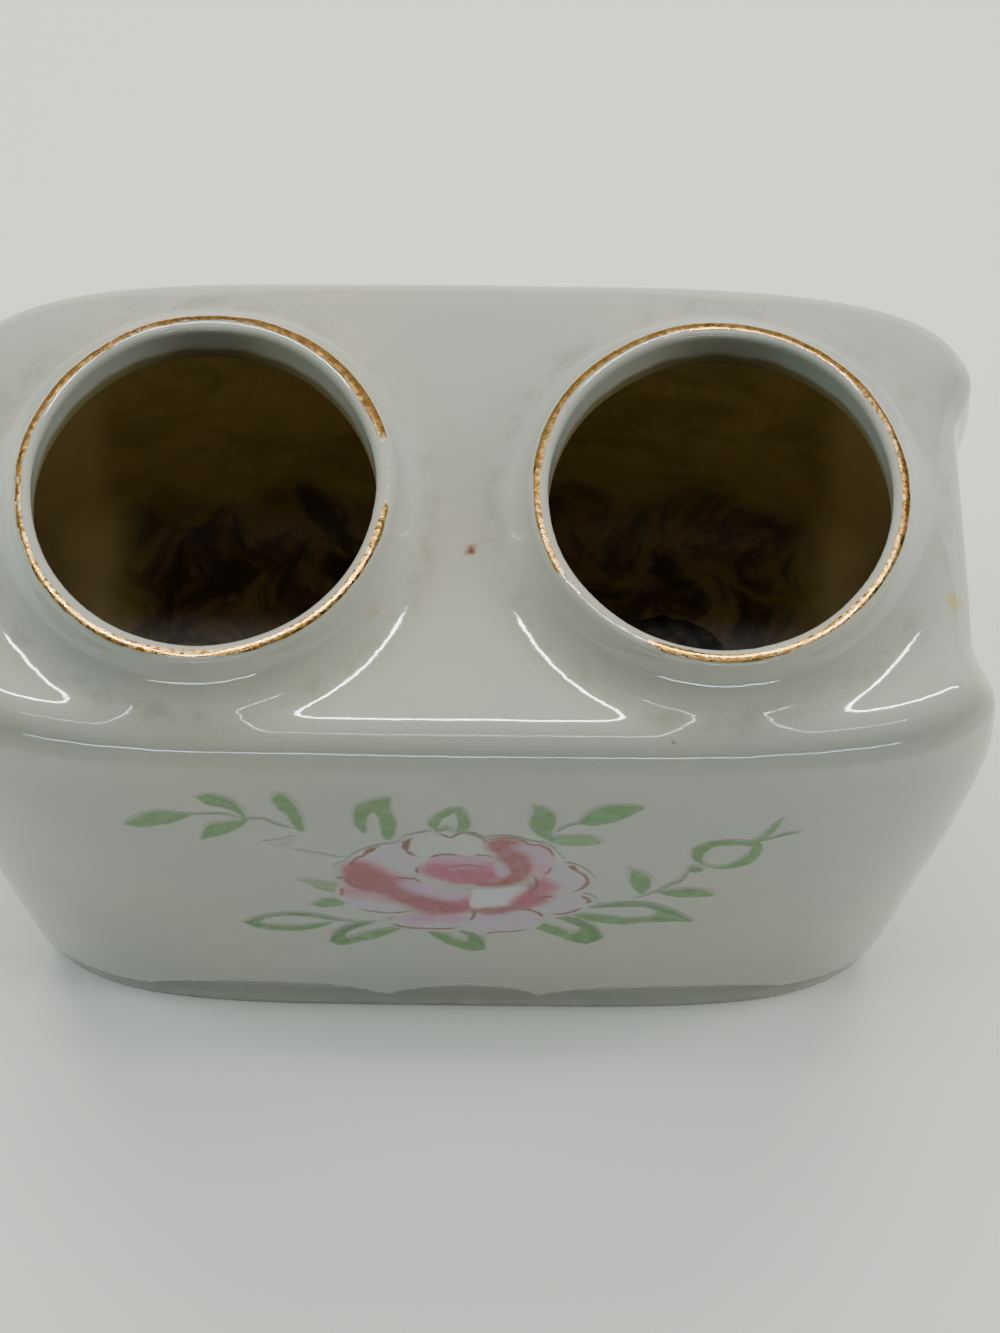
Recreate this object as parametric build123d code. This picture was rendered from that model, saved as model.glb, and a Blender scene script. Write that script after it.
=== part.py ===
from build123d import *
import math
import os

# Double inkwell in slip-cast, glazed porcelain: a box-like body with two round
# necks on its deck. Millimetres, +Z up. The origin is at the centre of the
# foot, on the surface that the inkwell stands on. X runs along the two wells,
# and -Y is the painted front.

# ---------------------------------------------------------------- dimensions
overall_height = 79.5        # foot to the top of the lips
deck_z = 73.0                # top of the flat deck
shoulder_z = 68.0            # where the walls end and the deck's rounding starts
deck_edge_radius = deck_z - shoulder_z
wall = 2.8                   # cast wall thickness
front_narrowing = 0.0012     # the plan is this much narrower per mm towards the back

neck_spacing = 55.0          # between the two well axes
lip_outer_r = 20.5           # outside of the lip
neck_bore_r = 18.3           # inside of the neck
neck_root_r = 23.2           # foot of the outer fillet, where it meets the deck
gilt_r = 19.45               # middle of the gilt line on the lip
gilt_width = 1.0
gilt_thick = 0.15

foot_height = 8.5            # height of the foot band
foot_inset = 0.95            # how far the foot band stands back from the skirt
foot_wall = 4.0
skirt_z = 5.2                # cusps of the scalloped skirt
arch_height = 3.0            # rise of the scallops above the cusps
floor_top = 12.0             # bottom of the wells
divider_thick = 2.8
cove_top = 24.0              # where the rounded lower corners of the wells end

residue_thick = 0.35         # dried ink on the floor of each well
enamel_thick = 0.15          # thickness of the painted decoration

# Plan outline at the shoulder: long sides of half depth 28.7, rounded corners,
# and ends that are hollow in the middle. The front corners start further from
# the middle than the back ones.
half_depth = 28.7
end_half_width = 53.81
corner_px, corner_py = 4.17, 5.87       # roundness of the corners
front_flare, front_run = 3.87, (0.404, 0.779)
back_flare, back_run = 3.22, (0.360, 0.692)


def quarter(flare, run):
    """From the middle of the long side, round the corner, to the middle of the end."""
    def width(v):
        t = min(1, max(0, (v - run[0]) / (run[1] - run[0])))
        return end_half_width + flare * t ** 3 * (t * (6 * t - 15) + 10)
    pts = []
    for x in (0, 12, 24, 34, 41, 46.5, 51):
        pts.append((x, half_depth * (1 - (x / (end_half_width + flare)) ** corner_px) ** (1 / corner_py)))
    for y in (22.6, 20.4, 18.0, 15.4, 12.4, 9.0, 4.5, 0.0):
        v = y / half_depth
        pts.append((width(v) * (1 - v ** corner_py) ** (1 / corner_px), y))
    return pts


front_quarter, back_quarter = quarter(front_flare, front_run), quarter(back_flare, back_run)

# Height, scale of the plan in X, scale of the plan in Y: the ends draw in
# towards the foot, and the long sides spread a little.
profile = [
    (0, 0.825, 1.072), (4, 0.8455, 1.070), (8, 0.8607, 1.066),
    (12, 0.877, 1.062), (18, 0.899, 1.054), (26, 0.9265, 1.043),
    (36, 0.9589, 1.030), (46, 0.983, 1.017), (56, 0.998, 1.006),
    (68, 1.004, 1.0),
]


# ---------------------------------------------------------------- helpers
def scales(z):
    if z <= profile[0][0]:
        return profile[0][1:]
    for a, b in zip(profile, profile[1:]):
        if z <= b[0]:
            t = (z - a[0]) / (b[0] - a[0])
            return tuple(p + (q - p) * t for p, q in zip(a[1:], b[1:]))
    return profile[-1][1:]


def plan(z, inset=0.0):
    """Points of the closed plan outline at height z, moved in by inset. Half of
    the move is square to the outline and half is a shrink towards the middle,
    so that the small corner radii never fold over."""
    fx, fy = scales(z)
    base = [(x, -y) for x, y in front_quarter] + [(x, y) for x, y in reversed(back_quarter[:-1])]
    base += [(-x, y) for x, y in reversed(base[1:-1])]
    pts = [(x * fx * (1 - front_narrowing * y), y * fy) for x, y in base]
    square = inset if inset < 0 else inset / 2
    shrink = 0 if inset < 0 else inset / 2
    kx, ky = 1 - shrink / (54 * fx), 1 - shrink / (28.6 * fy)
    out = []
    for i, (x, y) in enumerate(pts):
        ax, ay = pts[i - 1]
        bx, by = pts[(i + 1) % len(pts)]
        tx, ty = bx - ax, by - ay
        length = math.hypot(tx, ty)
        out.append(((x - square * ty / length) * kx, (y + square * tx / length) * ky))
    return out


def section(z, inset=0.0, at=None):
    """The plan outline as a face lying at height at, or at its own height z."""
    pts = [Vector(x, y, z if at is None else at) for x, y in plan(z, inset)]
    return Face(Wire(Edge.make_spline(pts, periodic=True)))


def stack(levels):
    """A smooth solid through outlines given as (z, inset) or (z, inset, at)."""
    return loft([section(*lv) for lv in levels])


def band(z, inset, z0, z1):
    """A straight-sided block with the plan outline of height z."""
    return extrude(section(z, inset, z0), z1 - z0, dir=(0, 0, 1))


def blob(cx, cy, z, rx, ry, wobble, phase, n=14):
    """A closed irregular outline as a face."""
    pts = []
    for i in range(n):
        a = 2 * math.pi * i / n
        k = 1 + wobble * (0.6 * math.sin(3 * a + phase) + 0.4 * math.sin(5 * a + 2.1 * phase))
        pts.append(Vector(cx + rx * k * math.cos(a), cy + ry * k * math.sin(a), z))
    return Face(Wire(Edge.make_spline(pts, periodic=True)))


def petal_face(points, y):
    """A closed smooth outline in the X-Z plane at depth y."""
    return Face(Wire(Edge.make_spline([Vector(x, y, z) for x, z in points], periodic=True)))


def leaf_points(x0, z0, x1, z1, width):
    """Outline of a pointed leaf from (x0, z0) to (x1, z1)."""
    dx, dz = x1 - x0, z1 - z0
    length = math.hypot(dx, dz)
    nx, nz = -dz / length, dx / length
    side = [(0.12, 0.28), (0.35, 0.5), (0.65, 0.42), (0.88, 0.16)]
    up = [(x0 + dx * t + nx * width * w, z0 + dz * t + nz * width * w) for t, w in side]
    down = [(x0 + dx * t - nx * width * w, z0 + dz * t - nz * width * w) for t, w in reversed(side)]
    return [(x0, z0), *up, (x1, z1), *down]


os.makedirs("parts", exist_ok=True)


def save(shape, name):
    export_step(shape, f"parts/{name}.step")


# ---------------------------------------------------------------- body walls
outer_levels = [0, 4, 8, 12, 18, 26, 36, 46, 57, 68]
outer = stack([(z, 0.0) for z in outer_levels])

# The wells follow the outside at one wall's distance, with rounded lower corners.
inner = stack([
    (12, 9.0), (13.2, 6.6), (15.5, 4.9), (19, 3.6), (cove_top, wall),
    (34, wall), (46, wall), (56, wall), (shoulder_z, wall),
])
foot_seat = band(2, foot_inset, -1, foot_height)
floor_seat = band(10, wall, foot_height, floor_top)
walls = outer - inner - foot_seat - floor_seat
below = Pos(0, 0, (skirt_z - 20) / 2) * Box(200, 200, skirt_z + 20)
walls -= below

# Scalloped lower edge of the skirt, in three arches along the long sides.
cusps = [-35.5, -8.5, 8.5, 35.5]
for a, b in zip(cusps, cusps[1:]):
    mid = (a + b) / 2
    arch = Wire([
        Edge.make_three_point_arc(Vector(a, -60, skirt_z), Vector(mid, -60, skirt_z + arch_height), Vector(b, -60, skirt_z)),
        Edge.make_line(Vector(b, -60, skirt_z), Vector(b, -60, skirt_z - 1)),
        Edge.make_line(Vector(b, -60, skirt_z - 1), Vector(a, -60, skirt_z - 1)),
        Edge.make_line(Vector(a, -60, skirt_z - 1), Vector(a, -60, skirt_z)),
    ])
    walls -= extrude(Face(arch), 120, dir=(0, 1, 0))
save(walls, "body_walls")

# ---------------------------------------------------------------- foot and floor
foot_ring = band(2, foot_inset, 0, foot_height) - band(2, foot_inset + foot_wall, -1, foot_height + 1)
save(foot_ring, "foot_ring")
save(band(10, wall, foot_height, floor_top), "well_floor")

# ---------------------------------------------------------------- deck
rho = deck_edge_radius


def arc_levels(inset0, r, z0, angles):
    return [(shoulder_z, inset0 + r * (1 - math.cos(math.radians(a))), z0 + r * math.sin(math.radians(a))) for a in angles]


deck_out = stack(arc_levels(0.0, rho, shoulder_z, [0, 15, 30, 45, 60, 74, 90]))
under = rho - wall
deck_in = stack(arc_levels(wall, under, shoulder_z, [0, 25, 50, 75, 90]))
deck = deck_out - deck_in

# The divider fills the whole height between floor and deck.
divider_block = Pos(0, 0, (floor_top + shoulder_z) / 2) * Box(divider_thick, 80, shoulder_z - floor_top)
divider_cap = Pos(0, 0, (deck_z + shoulder_z) / 2) * Box(divider_thick, 80, deck_z - shoulder_z)
save((divider_block & inner) + (divider_cap & deck_in), "well_divider")

for sx in (-1, 1):
    deck -= Pos(sx * neck_spacing / 2, 0, shoulder_z + 3) * Cylinder(neck_root_r, 12)
save(deck, "deck")

# ---------------------------------------------------------------- necks
deck_under = deck_z - wall
lip_r = (lip_outer_r - neck_bore_r) / 2
lip_mid = (lip_outer_r + neck_bore_r) / 2
g0, g1 = gilt_r - gilt_width / 2, gilt_r + gilt_width / 2
top = overall_height
seat = top - gilt_thick


def ring_profile(points):
    return Face(Wire.make_polygon([Vector(r, 0, z) for r, z in points], close=True))


fillet_pts = []
fillet_r = neck_root_r - lip_outer_r
for a in range(0, 91, 10):
    t = math.radians(a)
    fillet_pts.append((neck_root_r - fillet_r * math.sin(t), deck_z + fillet_r * (1 - math.cos(t))))
lip_out = [(lip_outer_r - 0.55 * (1 - math.cos(math.radians(a))), top - 0.7 + 0.55 * math.sin(math.radians(a))) for a in range(0, 91, 15)]
lip_in = [(neck_bore_r + 0.6 * (1 - math.sin(math.radians(a))), top - 0.75 + 0.6 * math.cos(math.radians(a))) for a in range(0, 91, 15)]
under_pts = [(neck_bore_r + 1.6 * (1 - math.cos(math.radians(a))), deck_under + 1.6 - 1.6 * math.sin(math.radians(a))) for a in range(0, 91, 15)]
neck_outline = [(neck_root_r, deck_under)] + fillet_pts + lip_out + [(g1, seat), (g0, seat)] + lip_in + under_pts
for name, sx in (("left_neck", -1), ("right_neck", 1)):
    neck = revolve(ring_profile(neck_outline), axis=Axis.Z)
    save(Pos(sx * neck_spacing / 2, 0, 0) * neck, name)

# ---------------------------------------------------------------- gilt bands
for name, sx in (("left_gilt_band", -1), ("right_gilt_band", 1)):
    hoop = revolve(ring_profile([(g0, seat), (g1, seat), (g1, top), (g0, top)]), axis=Axis.Z)
    save(Pos(sx * neck_spacing / 2, 0, 0) * hoop, name)

# ---------------------------------------------------------------- dried ink
for name, sx, rx, ry, ph in (("left_ink_residue", -1, 14.5, 13.5, 0.6), ("right_ink_residue", 1, 15.0, 12.5, 2.3)):
    patch = blob(sx * 21.0, 1.5 * sx, floor_top, rx, ry, 0.14, ph)
    save(extrude(patch, residue_thick, dir=(0, 0, 1)), name)

# ---------------------------------------------------------------- enamel
skin = stack([(z, -enamel_thick) for z in outer_levels]) - outer
front_half = Pos(0, -60, 40) * Box(200, 100, 200)
skin &= front_half

rose_x, rose_z = 0.4, 37.8
rose_w, rose_h = 27.0, 28.0
rose_pts = []
for i in range(20):
    a = 2 * math.pi * i / 20
    k = 1 + 0.06 * math.cos(5 * a + 0.7)
    rose_pts.append((rose_x + rose_w / 2 * k * math.cos(a), rose_z + rose_h / 2 * k * math.sin(a)))
rose = extrude(petal_face(rose_pts, -45), 30, dir=(0, 1, 0)) & skin
save(rose, "rose_enamel")

leaves = [
    (-36.1, 51.6, -29.2, 55.7, 3.2),
    (-27.5, 61, -22.9, 55.6, 2.7),
    (-28.2, 48.9, -22.9, 55.1, 2.7),
    (-19.4, 61.6, -17.1, 52.2, 2),
    (-17.5, 38.4, -13.1, 35.4, 1.9),
    (-16.4, 31.2, -11.7, 32.7, 2.1),
    (-23.9, 26.2, -12, 27, 4),
    (-14.6, 21.4, -6.5, 26.4, 3.2),
    (-2.4, 24.8, 2.4, 19.3, 3.2),
    (8.6, 28.4, 14.6, 22, 3.8),
    (12.7, 30.1, 25.6, 28.3, 5),
    (-9.1, 61.1, -9, 49.9, 4.6),
    (-0.3, 59.1, -1.6, 52, 3.4),
    (8.6, 59.8, 9.5, 50.3, 2.9),
    (13, 54.8, 19.4, 59.9, 3.9),
    (9.4, 50.1, 15.3, 50.2, 2.7),
    (19.2, 42.5, 20, 35.2, 2.2),
    (21.5, 35.8, 27.8, 35.2, 2.3),
    (30.7, 49.1, 26.9, 43, 5.8),
]
sprays = []
for leaf in leaves:
    cut = extrude(petal_face(leaf_points(*leaf), -45), 30, dir=(0, 1, 0)) & skin
    sprays += cut.solids()
apart = []
for s in sprays:
    t = s - rose
    apart += [x for x in t.solids() if x.volume > 0.3]
save(Compound(children=apart), "leaf_enamel")

inner_front = plan(30, wall)
print("front wall at z 30, inner half depth", round(max(y for _, y in inner_front), 2))
for z in (13, 24, 40, 60):
    p = plan(z, wall)
    print(z, "inner half width", round(max(x for x, _ in p), 2), "inner depth", round(min(y for _, y in p), 2), round(max(y for _, y in p), 2))
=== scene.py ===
import math

import bpy
import numpy as np
from mathutils import Matrix, Vector


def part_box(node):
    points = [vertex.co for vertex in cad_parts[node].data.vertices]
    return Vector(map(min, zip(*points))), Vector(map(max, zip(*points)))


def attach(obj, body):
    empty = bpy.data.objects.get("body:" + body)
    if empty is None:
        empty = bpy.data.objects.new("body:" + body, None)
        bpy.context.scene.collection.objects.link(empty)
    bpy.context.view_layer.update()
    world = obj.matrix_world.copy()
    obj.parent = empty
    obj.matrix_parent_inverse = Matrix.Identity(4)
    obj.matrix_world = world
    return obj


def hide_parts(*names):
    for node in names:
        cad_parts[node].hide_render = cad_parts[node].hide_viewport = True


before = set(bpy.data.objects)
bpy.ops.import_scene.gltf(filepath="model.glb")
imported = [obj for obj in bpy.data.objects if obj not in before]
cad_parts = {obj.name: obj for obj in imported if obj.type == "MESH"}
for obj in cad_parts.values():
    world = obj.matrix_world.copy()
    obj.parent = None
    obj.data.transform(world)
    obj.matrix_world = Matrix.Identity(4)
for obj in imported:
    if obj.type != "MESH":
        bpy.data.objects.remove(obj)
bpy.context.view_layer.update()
MM = 0.001

# ---------------------------------------------------------------- where the CAD is
deck_lo, deck_hi = (np.array(v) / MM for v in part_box("deck"))
neck_lo, neck_hi = (np.array(v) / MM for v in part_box("left_neck"))
neck2_lo, neck2_hi = (np.array(v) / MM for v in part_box("right_neck"))
wall_lo, wall_hi = (np.array(v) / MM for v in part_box("body_walls"))
foot_lo, foot_hi = (np.array(v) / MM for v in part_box("foot_ring"))
floor_lo, floor_hi = (np.array(v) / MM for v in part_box("well_floor"))

TOP = float(neck_hi[2])            # top of the lips
DECK = float(deck_hi[2])           # flat of the deck
SHOULDER = float(deck_lo[2])
FLOOR = float(floor_hi[2])
NECK_X = float(neck2_lo[0] + neck2_hi[0]) / 2
CX = (-NECK_X, NECK_X)
WALL = 2.8
BORE, LIP = 18.3, 20.5
SKIRT = float(wall_lo[2])
HALF_D = 28.7
SKEW = 0.00119
EDGE_R = 4.88        # rounding of the deck's edge
LEAN = -0.60          # the casting leans this much towards the foot
FOOT_IN = 0.95

# ---------------------------------------------------------------- outline of the plan
Z_K = np.array([0, 4, 8, 12, 18, 26, 36, 46, 56, 68, 74.0])
FX_K = np.array([0.8253, 0.8455, 0.8607, 0.8719, 0.8971, 0.9265, 0.9589, 0.9869, 1.0069, 1.004, 1.004])
FY_K = np.array([1.070, 1.068, 1.065, 1.061, 1.053, 1.042, 1.029, 1.016, 1.006, 1.0, 1.0])
PX = np.polyfit(Z_K, FX_K, 6)
PY = np.polyfit(Z_K, FY_K, 4)


def fx_of(z):
    return np.polyval(PX, np.clip(z, 0, 70))


def fy_of(z):
    return np.polyval(PY, np.clip(z, 0, 70))


def smoother(t):
    t = np.clip(t, 0, 1)
    return t * t * t * (t * (6 * t - 15) + 10)


def width_at(v):
    """Half width of the ends at v = y / half depth: hollow in the middle, with
    a longer run to the front corners than to the back ones."""
    front = 53.81 + 3.87 * smoother((-v - 0.404) / 0.375)
    back = 53.81 + 3.23 * smoother((v - 0.359) / 0.332)
    return np.where(v < 0, front, back)


P_X, P_Y = 4.171, 5.871


def inside_value(x, y):
    v = y / HALF_D
    return (np.abs(x) / width_at(v)) ** P_X + np.abs(v) ** P_Y - 1


def outline_half(n=1500):
    a = np.linspace(-math.pi / 2 - 0.03, math.pi / 2 + 0.03, n)
    lo, hi = np.zeros(n), np.full(n, 80.0)
    for _ in range(48):
        mid = (lo + hi) / 2
        out = inside_value(mid * np.cos(a), mid * np.sin(a)) > 0
        hi, lo = np.where(out, mid, hi), np.where(out, lo, mid)
    return np.c_[lo * np.cos(a), lo * np.sin(a)]


GS = 0.25
GY0 = -40.0
gx, gy = np.arange(0, 70.01, GS), np.arange(GY0, 40.01, GS)
Q = outline_half()
A, B = Q[:-1], Q[1:]
AB = B - A
LL = (AB ** 2).sum(1)
pts = np.stack(np.meshgrid(gx, gy, indexing="ij"), -1).reshape(-1, 2)
best = np.empty(len(pts))
for i in range(0, len(pts), 4000):
    p = pts[i:i + 4000, None, :]
    wx, wy = p[..., 0] - A[:, 0], p[..., 1] - A[:, 1]
    t = np.clip((wx * AB[:, 0] + wy * AB[:, 1]) / LL, 0, 1)
    best[i:i + 4000] = np.sqrt(((wx - t * AB[:, 0]) ** 2 + (wy - t * AB[:, 1]) ** 2).min(1))
sign = np.where(inside_value(pts[:, 0], pts[:, 1]) > 0, 1.0, -1.0)
QUAD = (best * sign).reshape(len(gx), len(gy))


def cubic_weights(t):
    return (((-0.5 * t + 1) * t - 0.5) * t, ((1.5 * t - 2.5) * t) * t + 1,
            ((-1.5 * t + 2) * t + 0.5) * t, ((0.5 * t - 0.5) * t) * t)


def plan_distance(x, y, z):
    """Distance outside the plan outline at height z, negative inside."""
    fx, fy = fx_of(z), fy_of(z)
    x = x - LEAN * smoother((66 - z) / 30)
    u = np.abs(x / (fx * (1 - SKEW * y))) / GS
    v = (y / fy - GY0) / GS
    iu, iv = np.floor(u).astype(int), np.floor(v).astype(int)
    wu, wv = cubic_weights(u - iu), cubic_weights(v - iv)
    out = 0.0
    for a in range(4):
        ia = np.clip(np.abs(iu + a - 1), 0, len(gx) - 1)
        row = 0.0
        for b in range(4):
            ib = np.clip(iv + b - 1, 0, len(gy) - 1)
            row = row + wv[b] * QUAD[ia, ib]
        out = out + wu[a] * row
    return out


def both(a, b, r):
    """Overlap of two solids with a round edge of radius r."""
    ax, bx = a + r, b + r
    return np.minimum(np.maximum(ax, bx), 0) + np.hypot(np.maximum(ax, 0), np.maximum(bx, 0)) - r


def either(a, b, r):
    """Union of two solids with a round fillet of radius r."""
    ax, bx = np.maximum(r - a, 0), np.maximum(r - b, 0)
    return np.maximum(np.minimum(a, b), r) - np.hypot(ax, bx)


def skirt_line(x):
    """Lower edge of the skirt: three arches along each long side."""
    z = np.full_like(x, SKIRT)
    for a, b in ((-35.5, -8.5), (-8.5, 8.5), (8.5, 35.5)):
        m, h = (a + b) / 2, (b - a) / 2
        t = np.clip(1 - ((x - m) / h) ** 2, 0, 1)
        z = z + 3.0 * t ** 0.75 * (np.abs(x - m) < h)
    return z


def hand(x, y, z):
    """Slow unevenness of a hand-finished casting, in mm."""
    return (0.10 * np.sin(x * 0.11 + 0.6) * np.cos(z * 0.09 + 0.4) + 0.07 * np.sin(y * 0.17 + z * 0.13)
            + 0.06 * np.sin(x * 0.23 + z * 0.19 + 1.7))


def neck_radius(x, y):
    """Distance from the nearer neck's axis, and how much that lip strays from round."""
    r = np.full_like(x, 1e3)
    dr = np.zeros_like(x)
    dz = np.zeros_like(x)
    for i, cx in enumerate(CX):
        ri = np.hypot(x - cx, y)
        th = np.arctan2(y, x - cx)
        ph = (0.4, 2.2)[i]
        d = (0.02 + 0.08 * np.cos(2 * th) + 0.34 * np.sin(2 * th), -0.16 + 0.20 * np.cos(2 * th) - 0.20 * np.sin(2 * th))[i]
        d = d + 0.05 * np.sin(3 * th + 2 * ph) + 0.05 * np.sin(7 * th + ph) + 0.03 * np.sin(11 * th)
        e = -0.18 - 0.12 * np.sin(2 * th + ph * 1.7) - 0.10 * np.sin(5 * th + ph) - 0.05 * np.sin(9 * th + 1)
        near = ri < r
        r, dr, dz = np.where(near, ri, r), np.where(near, d, dr), np.where(near, e, dz)
    return r, dr, dz


def void_distance(x, y, z):
    """The wells and neck bores: negative inside the hollow."""
    d = plan_distance(x, y, z) * 0.98 + WALL
    d = both(d, z - (DECK - WALL), 3.0)
    d = both(d, FLOOR - z, 7.5)
    d = both(d, 1.4 - np.abs(x), 2.2)
    r, dr, _ = neck_radius(x, y)
    bore = np.maximum(r - BORE - dr * 0.5, (DECK - 5.0) - z)
    return either(d, bore, 2.4)


def body_distance(x, y, z):
    p = plan_distance(x, y, z) * 0.98 + 0.32 - hand(x, y, z) * np.clip((DECK - z) / 8, 0, 1)
    d = both(p, z - DECK, EDGE_R)
    r, dr, dz = neck_radius(x, y)
    neck = both(r - LIP + 0.15 - dr, z - (TOP + dz * 0.6), 1.0)
    d = either(d, neck, 6.4)
    d = both(d, -void_distance(x, y, z), 0.95)
    d = both(d, skirt_line(x) - z, 0.45)
    under = np.maximum(p + FOOT_IN, z - float(foot_hi[2]))
    return np.maximum(d, -under)


def foot_distance(x, y, z):
    q = plan_distance(x, y, np.full_like(z, 2.0)) * 0.98 + FOOT_IN + 0.55 * smoother((z - 1.5) / 3.5)
    d = both(q, -(z - 0.0), 0.8)
    d = np.maximum(d, z - float(foot_hi[2]))
    return both(d, -(q + 4.0), 0.8)


def surface_net(f, lo, hi, step):
    """Quad mesh of f = 0, its points moved onto the true surface."""
    ax = [np.arange(lo[i], hi[i] + step, step) for i in range(3)]
    X, Y, Z = np.meshgrid(*ax, indexing="ij")
    n = X.shape
    F = np.empty(n)
    for i in range(n[0]):
        F[i] = f(X[i].ravel(), Y[i].ravel(), Z[i].ravel()).reshape(n[1:])
    S = F < 0
    c = [n[0] - 1, n[1] - 1, n[2] - 1]
    acc, cnt = np.zeros((*c, 3)), np.zeros(c)
    corners = [(a, b, g) for a in (0, 1) for b in (0, 1) for g in (0, 1)]
    for p in corners:
        for axis in range(3):
            if p[axis]:
                continue
            q = list(p)
            q[axis] = 1
            sp = tuple(slice(p[k], p[k] + c[k]) for k in range(3))
            sq = tuple(slice(q[k], q[k] + c[k]) for k in range(3))
            cross = S[sp] != S[sq]
            fa, fb = F[sp], F[sq]
            t = np.where(cross, fa / np.where(cross, fa - fb, 1), 0)
            for k in range(3):
                acc[..., k] += cross * (p[k] + (t if k == axis else 0))
            cnt += cross
    idx = -np.ones(c, int)
    on = cnt > 0
    idx[on] = np.arange(on.sum())
    cell = np.argwhere(on)
    V = np.array(lo) + step * (cell + acc[on] / cnt[on][:, None])
    faces = []
    for axis in range(3):
        u, v = [(1, 2), (2, 0), (0, 1)][axis]
        sl0, sl1 = [slice(None)] * 3, [slice(None)] * 3
        sl0[axis], sl1[axis] = slice(0, -1), slice(1, None)
        a, b = S[tuple(sl0)], S[tuple(sl1)]
        for flip in (False, True):
            e = np.argwhere((a & ~b) if not flip else (~a & b))
            e = e[(e[:, u] > 0) & (e[:, v] > 0) & (e[:, u] < n[u] - 1) & (e[:, v] < n[v] - 1)]
            quad = []
            for du, dv in ((-1, -1), (0, -1), (0, 0), (-1, 0)):
                k = e.copy()
                k[:, u] += du
                k[:, v] += dv
                quad.append(idx[k[:, 0], k[:, 1], k[:, 2]])
            quad = np.stack(quad, 1)
            if flip:
                quad = quad[:, ::-1]
            faces.append(quad[(quad >= 0).all(1)])
    faces = np.concatenate(faces)

    def gradient(P, h=0.06):
        g = np.empty_like(P)
        for k in range(3):
            d = np.zeros(3)
            d[k] = h
            g[:, k] = f(*(P + d).T) - f(*(P - d).T)
        return g / (2 * h)

    for _ in range(3):
        g = gradient(V)
        gg = np.maximum((g ** 2).sum(1), 0.25)
        move = (f(*V.T) / gg)[:, None] * g
        L = np.linalg.norm(move, axis=1)[:, None]
        V = V - move * np.minimum(1, 0.35 * step / np.maximum(L, 1e-9))
    return V, faces


def make_mesh(name, V, faces, smooth=True):
    m = bpy.data.meshes.new(name)
    m.from_pydata((V * MM).tolist(), [], faces.tolist())
    m.validate(verbose=False)
    if smooth:
        m.polygons.foreach_set("use_smooth", [True] * len(m.polygons))
    m.update()
    o = bpy.data.objects.new(name, m)
    bpy.context.scene.collection.objects.link(o)
    return o


def attribute(o, name, values):
    a = o.data.attributes.new(name, "FLOAT", "POINT")
    a.data.foreach_set("value", np.asarray(values, np.float32))


def colour(o, name, rgb):
    a = o.data.attributes.new(name, "FLOAT_COLOR", "POINT")
    c = np.ones((len(rgb), 4), np.float32)
    c[:, :3] = rgb
    a.data.foreach_set("color", c.ravel())


# ---------------------------------------------------------------- node helpers
def new_material(name):
    m = bpy.data.materials.new(name)
    m.use_nodes = True
    nt = m.node_tree
    return m, nt, nt.nodes["Principled BSDF"]


def N(nt, kind, **props):
    n = nt.nodes.new(kind)
    for k, v in props.items():
        setattr(n, k, v)
    return n


def mix_rgb(nt, fac, a, b, blend="MIX"):
    n = N(nt, "ShaderNodeMix", data_type="RGBA", blend_type=blend)
    for s, v in ((n.inputs[0], fac), (n.inputs[6], a), (n.inputs[7], b)):
        if isinstance(v, bpy.types.NodeSocket):
            nt.links.new(v, s)
        else:
            s.default_value = v if not isinstance(v, tuple) or len(v) == 4 else (*v, 1)
    return n.outputs[2]


def math_node(nt, op, a, b=None, c=None, clamp=False):
    n = N(nt, "ShaderNodeMath", operation=op, use_clamp=clamp)
    for s, v in zip(n.inputs, (a, b, c)):
        if v is None:
            continue
        if isinstance(v, bpy.types.NodeSocket):
            nt.links.new(v, s)
        else:
            s.default_value = v
    return n.outputs[0]


def ramp(nt, fac, lo, hi, a=0.0, b=1.0):
    n = N(nt, "ShaderNodeMapRange", interpolation_type="SMOOTHSTEP")
    nt.links.new(fac, n.inputs[0])
    for i, v in enumerate((lo, hi, a, b)):
        n.inputs[i + 1].default_value = v
    return n.outputs[0]


def noise(nt, vec, scale, detail=3.0, rough=0.55, dist=0.0):
    n = N(nt, "ShaderNodeTexNoise")
    n.inputs["Scale"].default_value = scale
    n.inputs["Detail"].default_value = detail
    n.inputs["Roughness"].default_value = rough
    n.inputs["Distortion"].default_value = dist
    nt.links.new(vec, n.inputs["Vector"])
    return n.outputs[0]


def attr(nt, name, out="Fac"):
    n = N(nt, "ShaderNodeAttribute", attribute_name=name)
    return n.outputs[out]


def hexa(r, g, b):
    def lin(c):
        c /= 255
        return c / 12.92 if c <= 0.04045 else ((c + 0.055) / 1.055) ** 2.4
    return (lin(r), lin(g), lin(b))


GLAZE = hexa(175, 176, 168)


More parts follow.
